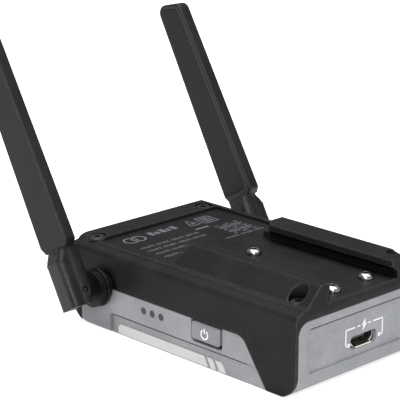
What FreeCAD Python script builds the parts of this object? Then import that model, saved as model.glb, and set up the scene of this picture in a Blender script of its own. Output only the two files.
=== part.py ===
import FreeCAD, Part
import os

import Sketcher

# Wireless receiver unit, in millimetres.
# +X is the USB end, -X the antenna end, -Y the near (button) side, +Z the slotted top.
# The origin is the centre of the flat bottom face.

os.makedirs("parts", exist_ok=True)
doc = FreeCAD.newDocument("receiver")
Vec = FreeCAD.Vector
Rot = FreeCAD.Rotation

# ---------------------------------------------------------------------------
# Driving dimensions
# ---------------------------------------------------------------------------

DIMENSIONS = {
    # whole body
    "body_length": 71.1,
    "body_width": 42.3,
    "frame_height": 20.34,
    "wall": 2.2,
    "end_radius": 5.5,
    "ceiling_z": 17.9,
    "seam": 0.1,
    # slotted top
    "slot_floor_z": 19.56,
    "rail_top_z": 23.52,
    "lip_half_gap": 9.9,
    "near_lip_y": 10.5,
    "lip_height": 1.5,
    "slot_half_width": 11.4,
    "slot_wall_top_z": 20.95,
    "rail_start_x": -4.2,
    "near_rail_edge": 12.9,
    "far_rail_edge": 16.65,
    "recess_start_x": -28.6,
    "recess_far_y": 19.05,
    # bottom tray and side panels
    "tray_wall": 1.5,
    "tray_top_z": 17.0,
    "tray_half_width": 20.4,
    "panel_thickness": 1.2,
    "panel_top_z": 10.44,
    "panel_left_x": -32.25,
    "panel_right_x": 18.2,
    "panel_foot_x": 27.3,
    "panel_recess_x": -22.3,
    "panel_recess_z": 4.7,
    "panel_recess_depth": 0.5,
    # button and lights
    "button_x": 9.05,
    "button_z": 8.05,
    "button_length": 8.7,
    "button_height": 4.1,
    "button_gap": 0.65,
    "button_proud": 0.5,
    "led_z": 8.04,
    "led_first_x": -10.95,
    "led_pitch": 2.85,
    "led_radius": 0.85,
    # sockets
    "end_recess_depth": 0.45,
    "port_y": 0.5,
    "port_z": 8.25,
    "port_width": 8.4,
    "port_height": 2.95,
    "shell_width": 7.6,
    "shell_height": 2.7,
    "jack_z": 9.6,
    "jack_bore": 3.6,
    # board and battery
    "board_top_z": 6.9,
    "board_thickness": 1.0,
    "battery_length": 38.0,
    "battery_width": 26.0,
    "battery_thickness": 4.4,
    # screws
    "case_screw_x": 31.1,
    "case_screw_y": 17.1,
    "rail_screw_x": 30.65,
    "rail_screw_y": 15.4,
    "case_bore": 4.2,
    "floor_head": 3.5,
    # antennas
    "hinge_x": -24.3,
    "hinge_z": 10.85,
    "collar_radius": 4.5,
    "collar_standoff": 1.8,
    "collar_thickness": 0.7,
    "disc_radius": 4.3,
    "disc_thickness": 1.4,
    "shaft_radius": 2.0,
    "pin_offset": 7.8,
    "pin_radius": 0.75,
    "tongue_thickness": 2.4,
    "blade_foot_width": 10.0,
    "blade_tip_width": 8.0,
    "blade_thickness": 3.2,
    "blade_inner": 6.8,
    "blade_foot": 12.3,
    "blade_reach": 62.6,
    "tip_slant": 1.2,
    "neck_width": 6.8,
    "ridge_width": 6.0,
    "neck_inner": 4.9,
    "neck_valley": 9.9,
    "neck_outer": 12.0,
    "neck_foot": 3.2,
    "near_lean": 29.7,
    "far_lean": 29.7,
}

sheet = doc.addObject("Spreadsheet::Sheet", "Dims")
for row, (alias, value) in enumerate(DIMENSIONS.items(), start=1):
    sheet.set("A%d" % row, alias)
    sheet.set("B%d" % row, str(value))
    sheet.setAlias("B%d" % row, alias)
doc.recompute()


class Dim:
    """A number that remembers the sheet formula it comes from."""

    def __init__(self, value, text):
        self.value = value
        self.text = text

    def __add__(self, other):
        return Dim(self.value + num(other), "(%s + %s)" % (self.text, text(other)))

    def __radd__(self, other):
        return Dim(num(other) + self.value, "(%s + %s)" % (text(other), self.text))

    def __sub__(self, other):
        return Dim(self.value - num(other), "(%s - %s)" % (self.text, text(other)))

    def __rsub__(self, other):
        return Dim(num(other) - self.value, "(%s - %s)" % (text(other), self.text))

    def __mul__(self, other):
        return Dim(self.value * num(other), "(%s * %s)" % (self.text, text(other)))

    def __rmul__(self, other):
        return Dim(num(other) * self.value, "(%s * %s)" % (text(other), self.text))

    def __truediv__(self, other):
        return Dim(self.value / num(other), "(%s / %s)" % (self.text, text(other)))

    def __neg__(self):
        return Dim(-self.value, "(0 - %s)" % self.text)


def num(quantity):
    return quantity.value if isinstance(quantity, Dim) else float(quantity)


def text(quantity):
    if isinstance(quantity, Dim):
        return quantity.text
    return "(%r)" % float(quantity) if quantity < 0 else "%r" % float(quantity)


def dim(alias):
    return Dim(DIMENSIONS[alias], "Dims." + alias)


# ---------------------------------------------------------------------------
# Modelling helpers: every size is bound to the sheet
# ---------------------------------------------------------------------------

def bind(obj, prop, quantity):
    if isinstance(quantity, Dim):
        obj.setExpression(prop, quantity.text)


def put(obj, x, y, z, rotation=None):
    obj.Placement = FreeCAD.Placement(Vec(num(x), num(y), num(z)), rotation or Rot())
    bind(obj, "Placement.Base.x", x)
    bind(obj, "Placement.Base.y", y)
    bind(obj, "Placement.Base.z", z)


def box(name, x_span, y_span, z_span):
    obj = doc.addObject("Part::Box", name)
    spans = (("Length", x_span), ("Width", y_span), ("Height", z_span))
    for prop, (low, high) in spans:
        size = high - low
        setattr(obj, prop, num(size))
        bind(obj, prop, size)
    put(obj, x_span[0], y_span[0], z_span[0])
    return obj


def block(name, centre, size):
    spans = []
    for middle, extent in zip(centre, size):
        spans.append((middle - extent / 2, middle + extent / 2))
    return box(name, *spans)


AXIS_TURN = {
    "X": Rot(Vec(0, 1, 0), 90),
    "Y": Rot(Vec(1, 0, 0), -90),
    "Z": Rot(),
}


def rod(name, axis, start, radius, length):
    """A round bar from the point `start` along +axis."""
    obj = doc.addObject("Part::Cylinder", name)
    obj.Radius = num(radius)
    obj.Height = num(length)
    bind(obj, "Radius", radius)
    bind(obj, "Height", length)
    put(obj, start[0], start[1], start[2], AXIS_TURN[axis])
    return obj


PLANE_TURN = {
    "XY": Rot(),
    "XZ": Rot(Vec(1, 0, 0), 90),
    "YZ": Rot(Vec(1, 1, 1), 120),
}
PLANE_NORMAL = {
    "XY": Vec(0, 0, 1),
    "XZ": Vec(0, 1, 0),
    "YZ": Vec(1, 0, 0),
}


def prism(name, plane, corners, low, high):
    """A straight-sided outline in one plane, drawn out from `low` to `high` along its normal."""
    sketch = doc.addObject("Sketcher::SketchObject", name + "_outline")
    count = len(corners)
    for i in range(count):
        first = corners[i]
        second = corners[(i + 1) % count]
        start = Vec(num(first[0]), num(first[1]), 0)
        end = Vec(num(second[0]), num(second[1]), 0)
        sketch.addGeometry(Part.LineSegment(start, end), False)
    for i in range(count):
        sketch.addConstraint(Sketcher.Constraint("Coincident", i, 2, (i + 1) % count, 1))
    for i, corner in enumerate(corners):
        for kind, quantity in zip(("DistanceX", "DistanceY"), corner):
            rule = Sketcher.Constraint(kind, -1, 1, i, 1, num(quantity))
            index = sketch.addConstraint(rule)
            bind(sketch, "Constraints[%d]" % index, quantity)
    origin = {"XY": (0, 0, low), "XZ": (0, low, 0), "YZ": (low, 0, 0)}[plane]
    put(sketch, origin[0], origin[1], origin[2], PLANE_TURN[plane])
    obj = doc.addObject("Part::Extrusion", name)
    obj.Base = sketch
    obj.DirMode = "Custom"
    obj.Dir = PLANE_NORMAL[plane]
    obj.Solid = True
    obj.LengthFwd = num(high - low)
    bind(obj, "LengthFwd", high - low)
    return obj


def fuse(name, parts):
    obj = doc.addObject("Part::MultiFuse", name)
    obj.Shapes = parts
    return obj


def common(name, parts):
    obj = doc.addObject("Part::MultiCommon", name)
    obj.Shapes = parts
    return obj


def cut(name, base, tools):
    obj = doc.addObject("Part::Cut", name)
    obj.Base = base
    obj.Tool = tools[0] if len(tools) == 1 else fuse(name + "_tools", tools)
    return obj


def edit_edges(kind, name, base, size, wanted):
    doc.recompute()
    picked = []
    for index, edge in enumerate(base.Shape.Edges, start=1):
        if edge.Length < 1e-4:
            continue
        middle = edge.valueAt((edge.FirstParameter + edge.LastParameter) / 2)
        if wanted(middle, edge):
            picked.append((index, num(size), num(size)))
    if not picked:
        raise ValueError("no edge found for " + name)
    obj = doc.addObject(kind, name)
    obj.Base = base
    obj.Edges = picked
    doc.recompute()
    return obj


def soften(name, base, radius, wanted):
    return edit_edges("Part::Fillet", name, base, radius, wanted)


def bevel(name, base, size, wanted):
    return edit_edges("Part::Chamfer", name, base, size, wanted)


def near(a, b, slack=0.02):
    return abs(a - num(b)) < slack


def along(edge, axis):
    ends = (edge.valueAt(edge.FirstParameter), edge.valueAt(edge.LastParameter))
    run = ends[1] - ends[0]
    return abs(abs(run.dot(axis)) - run.Length) < 1e-4 * max(run.Length, 1e-9) and run.Length > 1e-6


X_AXIS = Vec(1, 0, 0)
Y_AXIS = Vec(0, 1, 0)
Z_AXIS = Vec(0, 0, 1)

nodes = {}


def node(name, obj):
    obj.Label = name
    nodes[name] = obj
    return obj


def group(name, parts):
    obj = doc.addObject("Part::Compound", name + "_group")
    obj.Links = parts
    return node(name, obj)


# ---------------------------------------------------------------------------
# Shared measures
# ---------------------------------------------------------------------------

half_length = dim("body_length") / 2
half_width = dim("body_width") / 2
wall = dim("wall")
seam = dim("seam")
frame_z = dim("frame_height")
ceiling = dim("ceiling_z")
floor_z = dim("slot_floor_z")
rail_z = dim("rail_top_z")
inner_y = half_width - wall
skin = dim("panel_thickness")
hinge_x = dim("hinge_x")
hinge_z = dim("hinge_z")
board_z = dim("board_top_z")
button_x = dim("button_x")
button_z = dim("button_z")
port_y = dim("port_y")
SIDES = (("near", -1), ("far", 1))


def span(a, b):
    return (a, b) if num(a) < num(b) else (b, a)


# ---------------------------------------------------------------------------
# Top cover: black sleeve with the slotted rails, open at the bottom and the two ends
# ---------------------------------------------------------------------------

def side_outline(name, shrink, low, high):
    """The long view of the body with its two large bottom radii, drawn out along Y."""
    reach = half_length - shrink
    top = frame_z + 8
    raw = prism(name + "_raw", "XZ",
                [(-reach, shrink), (reach, shrink), (reach, top), (-reach, top)], low, high)
    radius = dim("end_radius") - shrink
    return soften(name, raw, radius,
                  lambda m, e: near(m.z, shrink) and near(abs(m.x), reach))


cross_raw = prism("cover_cross_raw", "YZ", [
    (-half_width, 0), (half_width, 0), (half_width, frame_z), (-16.6, frame_z),
    (-18.3, frame_z - 0.7), (-19.1, frame_z - 1.35), (-half_width, frame_z - 1.75)],
    -half_length, half_length)
cross_foot = soften("cover_cross_foot", cross_raw, 0.6,
                    lambda m, e: near(m.z, 0) and near(abs(m.y), half_width))
cross_side = soften("cover_cross_side", cross_foot, 1.5,
                    lambda m, e: near(m.y, -half_width) and near(m.z, frame_z - 1.75))
cross_cove = soften("cover_cross_cove", cross_side, 1.2,
                    lambda m, e: near(m.y, -19.1) and near(m.z, frame_z - 1.35))
cross_lip = soften("cover_cross_lip", cross_cove, 2.5,
                   lambda m, e: near(m.y, -16.6) and near(m.z, frame_z))
cross = soften("cover_cross", cross_lip, 1.3,
               lambda m, e: near(m.y, half_width) and near(m.z, frame_z))
long_raw = prism("cover_long_raw", "XZ", [
    (-half_length, 0), (half_length, 0), (half_length, frame_z), (-half_length, frame_z)],
    -half_width - 1, half_width + 1)
long_foot = soften("cover_long_foot", long_raw, dim("end_radius"),
                   lambda m, e: near(m.z, 0) and near(abs(m.x), half_length))
long_view = soften("cover_long_view", long_foot, 0.8,
                   lambda m, e: near(m.z, frame_z) and near(abs(m.x), half_length))
envelope = common("cover_envelope", [cross, long_view])

rail_low = floor_z - 1
rail_x0 = dim("rail_start_x") - 1.2
lip = dim("lip_half_gap")
near_lip = dim("near_lip_y")
slot_y = dim("slot_half_width")
near_rail = prism("near_rail", "YZ", [
    (-19.0, rail_low), (-17.3, rail_low + 1.15), (-dim("near_rail_edge"), rail_z),
    (-near_lip, rail_z), (-near_lip, rail_z - dim("lip_height")),
    (-slot_y, dim("slot_wall_top_z")),
    (-slot_y, rail_low)], rail_x0, half_length)
near_rail_soft = soften("near_rail_soft", near_rail, 0.5,
                        lambda m, e: near(m.z, rail_z) and near(m.y, -dim("near_rail_edge")))
near_rail_ready = soften("near_rail_ready", near_rail_soft, 2.0,
                         lambda m, e: near(m.y, -17.3) and near(m.z, rail_low + 1.15))
far_rail = prism("far_rail", "YZ", [
    (slot_y, rail_low), (slot_y, dim("slot_wall_top_z")), (lip, rail_z - dim("lip_height")),
    (lip, rail_z), (dim("far_rail_edge"), rail_z), (19.2, frame_z), (19.2, rail_low)],
    rail_x0, half_length)
far_rail_ready = soften("far_rail_ready", far_rail, 0.6,
                        lambda m, e: near(m.z, rail_z) and near(m.y, dim("far_rail_edge")))

rake_start = prism("rail_start_rake", "XZ", [
    (rail_x0 - 1, floor_z), (rail_x0, floor_z), (dim("rail_start_x") + 0.4, rail_z + 1),
    (rail_x0 - 1, rail_z + 1)], -half_width, half_width)
lip_corners = []
for side, sign in SIDES:
    lip_corners.append(prism(side + "_lip_corner", "XY", [
        (-1.0, sign * (lip - 0.6)), (-5.1, sign * (lip + 3.1)),
        (-8.0, sign * (lip + 3.1)), (-8.0, sign * (lip - 0.6))],
        dim("slot_wall_top_z") + 0.1, rail_z + 1))
rails_square = fuse("rails_square", [near_rail_ready, far_rail_ready])
rails = cut("rails", rails_square, [rake_start] + lip_corners)

slot_floor_cut = box("slot_floor_cut", (rail_x0 - 0.5, half_length + 1), (-slot_y, slot_y),
                     (floor_z, rail_z + 1))
label_recess_raw = box("label_recess_raw", (dim("recess_start_x"), rail_x0 + 0.01),
                       (-half_width - 1, dim("recess_far_y")), (floor_z, rail_z + 1))
label_recess = soften("label_recess", label_recess_raw, 0.6,
                      lambda m, e: near(m.x, dim("recess_start_x")) and along(e, Z_AXIS)
                      and m.y > 0)
near_ledge = box("near_ledge", (rail_x0 - 0.5, half_length + 1), (-half_width - 1, -15.0),
                 (floor_z, rail_z + 1))
cavity = box("cover_cavity", (-half_length + wall + 0.2, half_length - wall - 0.2),
             (-inner_y, inner_y), (-1.0, ceiling))
rake_end = prism("rail_end_rake", "XZ", [
    (half_length - 0.1, dim("tray_top_z") + 1.2), (half_length + 1, dim("tray_top_z") + 1.2),
    (half_length + 1, rail_z + 1), (half_length - 0.9, rail_z + 1)], -half_width - 1, half_width + 1)


def tray_end_form(name, shrink, gap):
    """The grey U-strap as a block: full body length, end-plate width, rounded top corners."""
    outer = side_outline(name + "_outer", 0, -dim("tray_half_width") - gap,
                         dim("tray_half_width") + gap)
    top = dim("tray_top_z") + gap
    trimmed = cut(name + "_trimmed", outer,
                  [box(name + "_above", (-half_length - 1, half_length + 1),
                       (-half_width - 1, half_width + 1), (top, rail_z + 8))])
    rounded = soften(name + "_rounded", trimmed, 3.0,
                     lambda m, e: near(m.z, top) and near(abs(m.y), dim("tray_half_width") + gap)
                     and along(e, X_AXIS))
    inner = side_outline(name + "_inner", shrink, -half_width - 1, half_width + 1)
    return cut(name, rounded, [inner])


def wall_strips(name, gap):
    """The long bottom edges of the body, where the side walls reach down past the tray."""
    strips = []
    for side, sign in SIDES:
        low, high = span(sign * (inner_y - gap), sign * (half_width + 1))
        strips.append(box("%s_%s_strip" % (side, name),
                          (-half_length + 3.1 - gap, half_length - 4.3 + gap),
                          (low, high), (-1.0, 4.0)))
    return strips


tray_pocket_whole = tray_end_form("tray_pocket", dim("tray_wall") + seam, seam)
tray_pocket = cut("tray_pocket_trimmed", tray_pocket_whole, wall_strips("pocket", 0.0))


def panel_outline(name, gap, low, high):
    """The grey side inlay: straight top, square left end, raked right end."""
    lift = dim("panel_top_z") + gap
    raw = prism(name + "_raw", "XZ", [
        (dim("panel_left_x") - gap, -1.0), (dim("panel_foot_x") + 0.6 + gap, -1.0),
        (dim("panel_right_x") + 1.7 + gap, lift), (dim("panel_left_x") - gap, lift)], low, high)
    return soften(name, raw, 3.2,
                  lambda m, e: near(m.z, lift) and near(m.x, dim("panel_right_x") + 1.7 + gap))


panel_pockets = []
for side, sign in SIDES:
    outer, inner = sign * (half_width + 1), sign * (half_width - skin)
    low, high = span(inner, outer)
    panel_pockets.append(panel_outline(side + "_panel_pocket", 0.06, low, high))


def case_screw_spots():
    spots = []
    for sign in (-1, 1):
        spots.append((-dim("case_screw_x"), sign * dim("case_screw_y"), frame_z - 1.1))
        spots.append((dim("rail_screw_x"), sign * dim("rail_screw_y"), floor_z - 0.6))
    return spots


cover_holes = []
for i, (x, y, seat) in enumerate(case_screw_spots()):
    cover_holes.append(rod("case_bore_%d" % i, "Z", (x, y, seat), dim("case_bore") / 2, 8))
    cover_holes.append(rod("case_shank_hole_%d" % i, "Z", (x, y, 10.0), 1.1, 12))
FLOOR_SCREWS = ((2.1, 0.7), (31.0, -5.2), (30.55, 6.05))
for i, (x, y) in enumerate(FLOOR_SCREWS):
    cover_holes.append(rod("floor_screw_hole_%d" % i, "Z", (x, y, 10.0), 0.85, 12))
for side, sign in SIDES:
    low, high = span(sign * (inner_y - 1), sign * (half_width + 1))
    cover_holes.append(rod(side + "_bush_hole", "Y", (hinge_x, low, hinge_z), 3.05, high - low))
cover_holes.append(block("button_window", (button_x, -inner_y, button_z), (11.9, 4.0, 4.5)))
for i in range(3):
    x = dim("led_first_x") + i * dim("led_pitch")
    cover_holes.append(rod("led_hole_%d" % i, "Y", (x, -half_width - 1, dim("led_z")),
                           dim("led_radius"), 5))
cover_holes.append(block("port_window", (half_length - 1, port_y, dim("port_z")),
                         (8, dim("shell_width") + 1.0, dim("shell_height") + 1.0)))
cover_holes.append(rod("jack_window", "X", (-half_length - 1, 0, dim("jack_z")), 3.3, 6))

# ceiling posts meet the bosses of the tray around each case screw
posts = []
for i, (x, y, seat) in enumerate(case_screw_spots()):
    posts.append(rod("cover_post_%d" % i, "Z", (x, y, 14.0), 2.4, ceiling - 14.0 + 1))

cover_solid = cut("cover_hollow", envelope, [cavity, slot_floor_cut, label_recess, near_ledge])
cover_full = fuse("cover_full", [cover_solid, rails] + posts)
cover_cut = cut("cover_cut", cover_full,
                [tray_pocket, rake_end] + panel_pockets + cover_holes)
node("top_cover", cover_cut)

# ---------------------------------------------------------------------------
# Bottom tray: grey U-strap, floor and both end plates in one piece
# ---------------------------------------------------------------------------

tray_form = tray_end_form("tray_form", dim("tray_wall"), 0)
end_depth = dim("end_recess_depth")
end_recess_raw = box("end_recess_raw", (half_length - end_depth, half_length + 1),
                     (-17.55, 17.55), (5.2, 15.24))
end_recess_soft = soften("end_recess_soft", end_recess_raw, 1.2, lambda m, e: along(e, X_AXIS))
end_foot = prism("end_recess_foot", "XZ", [
    (half_length - end_depth, 5.65), (half_length + 0.1, 4.9), (half_length + 0.1, 5.65)],
    -16.6, 16.6)
end_groove = box("end_recess_groove", (half_length - end_depth - 0.3, half_length),
                 (-16.4, 16.4), (14.8, 15.24))
end_recess = fuse("end_recess", [end_recess_soft, end_foot, end_groove])
port_cut_raw = block("port_cut_raw", (half_length, port_y, dim("port_z")),
                     (8, dim("port_width"), dim("port_height")))
port_cut = soften("port_cut", port_cut_raw, 0.9, lambda m, e: along(e, X_AXIS))
jack_cut = rod("jack_cut", "X", (-half_length - 1, 0, dim("jack_z")), 3.0, 5)
bosses = []
boss_holes = []
for i, (x, y, seat) in enumerate(case_screw_spots()):
    bosses.append(rod("tray_boss_%d" % i, "Z", (x, y, 1.0), 1.7, 12.9))
    boss_holes.append(rod("tray_boss_hole_%d" % i, "Z", (x, y, 3.0), 0.85, 12))
BOARD_SCREWS = ((-22.0, -12.5), (-22.0, 12.5), (20.0, -12.5), (20.0, 12.5))
for i, (x, y) in enumerate(BOARD_SCREWS):
    bosses.append(rod("board_post_%d" % i, "Z", (x, y, 1.0), 1.9,
                      board_z - dim("board_thickness") - 1.0))
    boss_holes.append(rod("board_post_hole_%d" % i, "Z", (x, y, 2.4), 0.65, 6))
tray_body = fuse("tray_body", [cut("tray_strap", tray_form, wall_strips("tray", seam))] + bosses)
boss_trim = cut("tray_trimmed", common("tray_inside", [
    tray_body, side_outline("tray_limit", 0, -half_width, half_width)]),
    [end_recess, port_cut, jack_cut] + boss_holes)
node("bottom_tray", boss_trim)

# ---------------------------------------------------------------------------
# Side panels, light windows and the pale strip
# ---------------------------------------------------------------------------

for side, sign in SIDES:
    low, high = span(sign * (half_width - skin), sign * half_width)
    blank = common(side + "_panel_blank", [
        panel_outline(side + "_panel_shape", 0, low, high),
        side_outline(side + "_panel_limit", 0, low, high)])
    foot = soften(side + "_panel_foot", blank, 0.6,
                  lambda m, e: near(m.z, 0) and near(abs(m.y), half_width) and along(e, X_AXIS))
    step_low, step_high = span(sign * (half_width - dim("panel_recess_depth")),
                               sign * (half_width + 1))
    step_raw = box(side + "_panel_step_raw", (dim("panel_recess_x"), 40.0),
                   (step_low, step_high), (-1.0, dim("panel_recess_z")))
    step = soften(side + "_panel_step", step_raw, 0.9,
                  lambda m, e: along(e, Y_AXIS) and near(m.x, dim("panel_recess_x"))
                  and near(m.z, dim("panel_recess_z")))
    groove_low, groove_high = span(sign * (half_width - dim("panel_recess_depth") - 0.3),
                                   sign * (half_width + 1))
    groove_outer = soften(side + "_panel_groove_outer",
                          box(side + "_panel_groove_outer_raw", (dim("panel_recess_x"), 21.0),
                              (groove_low, groove_high), (0.6, dim("panel_recess_z"))),
                          1.2, lambda m, e: along(e, Y_AXIS) and m.x < 0 and m.z > 2)
    groove_inner = soften(side + "_panel_groove_inner",
                          box(side + "_panel_groove_inner_raw",
                              (dim("panel_recess_x") + 0.8, 22.0), (groove_low, groove_high),
                              (0.5, dim("panel_recess_z") - 0.5)),
                          0.6, lambda m, e: along(e, Y_AXIS) and m.x < 0 and m.z > 2)
    groove = cut(side + "_panel_groove", groove_outer, [groove_inner])
    tools = [step, groove,
             rod(side + "_panel_bush", "Y", (hinge_x, low - 1, hinge_z), 3.05, 4)]
    if side == "near":
        pocket_foot = button_z - dim("button_height") / 2 - dim("button_gap")
        button_pocket_raw = box("button_pocket_raw",
                                (button_x - dim("button_length") / 2 - 0.3,
                                 button_x + dim("button_length") / 2 + dim("button_gap")),
                                (-half_width - 2, -half_width + 2), (pocket_foot, 12.0))
        tools.append(soften("button_pocket", button_pocket_raw, 1.0,
                            lambda m, e: along(e, Y_AXIS) and near(m.z, pocket_foot)))
        for i in range(3):
            x = dim("led_first_x") + i * dim("led_pitch")
            tools.append(rod("panel_led_hole_%d" % i, "Y",
                             (x, -half_width - 1, dim("led_z")), dim("led_radius"), 4))
    node(side + "_side_panel", cut(side + "_panel_cut", foot, tools))

windows = []
for i in range(3):
    x = dim("led_first_x") + i * dim("led_pitch")
    windows.append(rod("led_window_%d" % i, "Y", (x, -half_width + 0.12, dim("led_z")),
                       dim("led_radius") - 0.02, wall))
group("led_windows", windows)

strip_y = (-half_width + dim("panel_recess_depth") - 0.25, -half_width + dim("panel_recess_depth"))
strip = prism("strip_main", "XZ", [
    (-19.8, 0.3), (9.35, 0.3), (8.15, 2.6), (-19.1, 2.6), (-19.8, 1.9)], *strip_y)
bars = [
    prism("strip_bar_a", "XZ", [(10.3, 0.3), (11.85, 0.3), (10.65, 2.6), (9.1, 2.6)], *strip_y),
    prism("strip_bar_b", "XZ", [(12.85, 0.3), (14.85, 0.3), (13.8, 2.25), (13.2, 2.6),
                                (11.65, 2.6)], *strip_y)]
group("side_strip", [strip] + bars)

# ---------------------------------------------------------------------------
# Power button, with the switch behind it
# ---------------------------------------------------------------------------

cap_raw = block("button_cap_raw",
                (button_x, -half_width + (1.2 - dim("button_proud")) / 2, button_z),
                (dim("button_length"), dim("button_proud") + 1.2, dim("button_height")))
cap_soft = soften("button_cap_soft", cap_raw, 0.75, lambda m, e: along(e, Y_AXIS))
cap = bevel("button_cap", cap_soft, 0.4,
            lambda m, e: near(m.y, -half_width - dim("button_proud")))
flange = block("button_flange", (button_x, -half_width + skin + 0.7, button_z),
               (11.2, 0.8, 3.7))
stem = rod("button_stem", "Y", (button_x, -half_width + skin + 0.1, button_z), 0.9, 2.2)
neck_bar = block("button_neck", (button_x, -half_width + skin - 0.1, button_z), (6.0, 1.4, 2.6))
node("power_button", fuse("power_button_fuse", [cap, flange, stem, neck_bar]))
plunger_y = -half_width + skin + 2.3
node("switch_plunger", rod("switch_plunger_rod", "Y", (button_x, plunger_y, button_z), 0.8, 1.7))
switch_body = block("switch_body", (button_x, plunger_y + 2.7, board_z + 1.05), (5.2, 3.6, 2.1))
switch_well = rod("switch_well", "Y", (button_x, plunger_y - 1, button_z), 1.12, 3.5)
node("power_switch", cut("power_switch_cut", switch_body, [switch_well]))

# ---------------------------------------------------------------------------
# Micro-USB socket and audio socket
# ---------------------------------------------------------------------------

mouth_x = half_length - 1.2
shell_w = dim("shell_width")
shell_h = dim("shell_height")


def micro_b(name, inset, x_low, x_high):
    """The wide-topped, chamfer-footed outline of the socket, drawn out along X."""
    half = shell_w / 2 - inset
    top = board_z + shell_h - inset
    foot = board_z + inset
    return prism(name, "YZ", [
        (port_y - half + 1.05, foot), (port_y + half - 1.05, foot),
        (port_y + half, foot + 1.05), (port_y + half, top),
        (port_y - half, top), (port_y - half, foot + 1.05)], x_low, x_high)


shell_outer = soften("shell_outer", micro_b("shell_outer_raw", 0, mouth_x - 5.2, mouth_x), 0.3,
                     lambda m, e: along(e, X_AXIS))
shell_inner = micro_b("shell_inner", 0.25, mouth_x - 4.9, mouth_x + 1)
shell_lip = block("shell_lip", (mouth_x + 0.25, port_y, board_z + 0.13),
                  (0.9, shell_w - 2.3, 0.25))
shell_slots = []
for sign in (-1, 1):
    shell_slots.append(block("shell_slot_%s" % ("a" if sign < 0 else "b"),
                             (mouth_x - 2.2, port_y + sign * 1.9, board_z + shell_h), (2.0, 0.7, 1.0)))
shell_tube = cut("usb_shell_cut", shell_outer, [shell_inner] + shell_slots)
node("usb_shell", fuse("usb_shell_lipped", [shell_tube, shell_lip]))
insert_base = block("insert_base", (mouth_x - 4.4, port_y, board_z + shell_h / 2), (1.0, 5.0, 2.0))
insert_tongue = block("insert_tongue", (mouth_x - 2.6, port_y, board_z + 1.72), (3.6, 3.7, 0.6))
node("usb_insert", fuse("usb_insert_fuse", [insert_base, insert_tongue]))
contacts = []
for i in range(5):
    contacts.append(block("usb_contact_%d" % i,
                          (mouth_x - 2.4, port_y + 0.65 * (i - 2),
                           board_z + 1.72 - 0.35),
                          (2.8, 0.35, 0.1)))
group("usb_contacts", contacts)

jack_body = block("jack_body", (-half_length + 8.4, 0, board_z + 2.7), (11.6, 6.4, 5.4))
jack_collar = rod("jack_collar", "X", (-half_length + 0.5, 0, dim("jack_z")), 2.9, 2.8)
jack_bore = rod("jack_bore", "X", (-half_length - 1, 0, dim("jack_z")), dim("jack_bore") / 2, 14)
node("audio_jack", cut("audio_jack_cut", fuse("jack_outer", [jack_body, jack_collar]),
                       [jack_bore]))

# ---------------------------------------------------------------------------
# Circuit board and what stands on it
# ---------------------------------------------------------------------------

board_blank = box("board_blank", (-28.4, 33.0), (-17.0, 17.0),
                  (board_z - dim("board_thickness"), board_z))
board_cuts = []
for i, (x, y, seat) in enumerate(case_screw_spots()):
    board_cuts.append(rod("board_notch_%d" % i, "Z", (x, y, 4.0), 2.1, 5))
for i, (x, y) in enumerate(BOARD_SCREWS):
    board_cuts.append(rod("board_hole_%d" % i, "Z", (x, y, 4.0), 0.85, 5))
node("main_board", cut("main_board_cut", board_blank, board_cuts))

can_outer = box("can_outer", (-18.5, -1.5), (-9.5, 9.5), (board_z, board_z + 2.4))
can_round = soften("can_round", can_outer, 0.5, lambda m, e: along(e, Z_AXIS))
can_inner = box("can_inner", (-18.3, -1.7), (-9.3, 9.3), (board_z - 1, board_z + 2.2))
node("radio_shield", cut("radio_shield_cut", can_round, [can_inner]))

CHIPS = (
    (-13.0, 3.0, 6.0, 6.0, 0.9), (-6.0, -3.5, 4.0, 5.0, 0.9), (6.0, 4.0, 7.0, 7.0, 1.1),
    (16.0, 4.0, 4.0, 5.0, 1.0), (24.0, -5.0, 4.0, 4.0, 1.2), (24.0, 6.0, 3.0, 3.0, 1.0))
chips = []
for i, (x, y, length, width, height) in enumerate(CHIPS):
    chips.append(block("chip_%d" % i, (x, y, board_z + height / 2), (length, width, height)))
group("board_chips", chips)

leds = []
for i in range(3):
    x = dim("led_first_x") + i * dim("led_pitch")
    leds.append(block("status_led_%d" % i, (x, -15.9, board_z + 0.6), (1.6, 1.6, 1.2)))
group("status_leds", leds)

battery_top = ceiling - 0.8
battery_raw = block("battery_raw", (5.0, 0, battery_top - dim("battery_thickness") / 2),
                    (dim("battery_length"), dim("battery_width"), dim("battery_thickness")))
battery = soften("battery_soft", battery_raw, 1.2, lambda m, e: along(e, X_AXIS))
node("battery_cell", battery)
node("battery_pad", box("battery_pad_box", (-9.0, 19.0), (-9.0, 9.0), (battery_top, ceiling)))
node("battery_socket", block("battery_socket_block", (26.0, 12.0, board_z + 1.0),
                             (3.0, 4.5, 2.0)))

# ---------------------------------------------------------------------------
# Screws
# ---------------------------------------------------------------------------


def screw(name, x, y, seat, head_radius, head_height, shank_radius, shank_length, shape=bevel,
          rim=0.35):
    """A low-headed screw with a hexagon socket, its head resting on `seat`."""
    head_raw = rod(name + "_head_raw", "Z", (x, y, seat), head_radius, head_height)
    head = shape(name + "_head", head_raw, head_height * rim,
                 lambda m, e: near(m.z, seat + head_height))
    shank = rod(name + "_shank", "Z", (x, y, seat - shank_length), shank_radius,
                shank_length + 0.1)
    socket = doc.addObject("Part::RegularPolygon", name + "_hexagon")
    socket.Polygon = 6
    socket.Circumradius = num(head_radius) * 0.42
    put(socket, x, y, seat + head_height * 0.35)
    socket_cut = doc.addObject("Part::Extrusion", name + "_socket")
    socket_cut.Base = socket
    socket_cut.DirMode = "Custom"
    socket_cut.Dir = Z_AXIS
    socket_cut.LengthFwd = 3
    socket_cut.Solid = True
    return cut(name, fuse(name + "_body", [head, shank]), [socket_cut])


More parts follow.
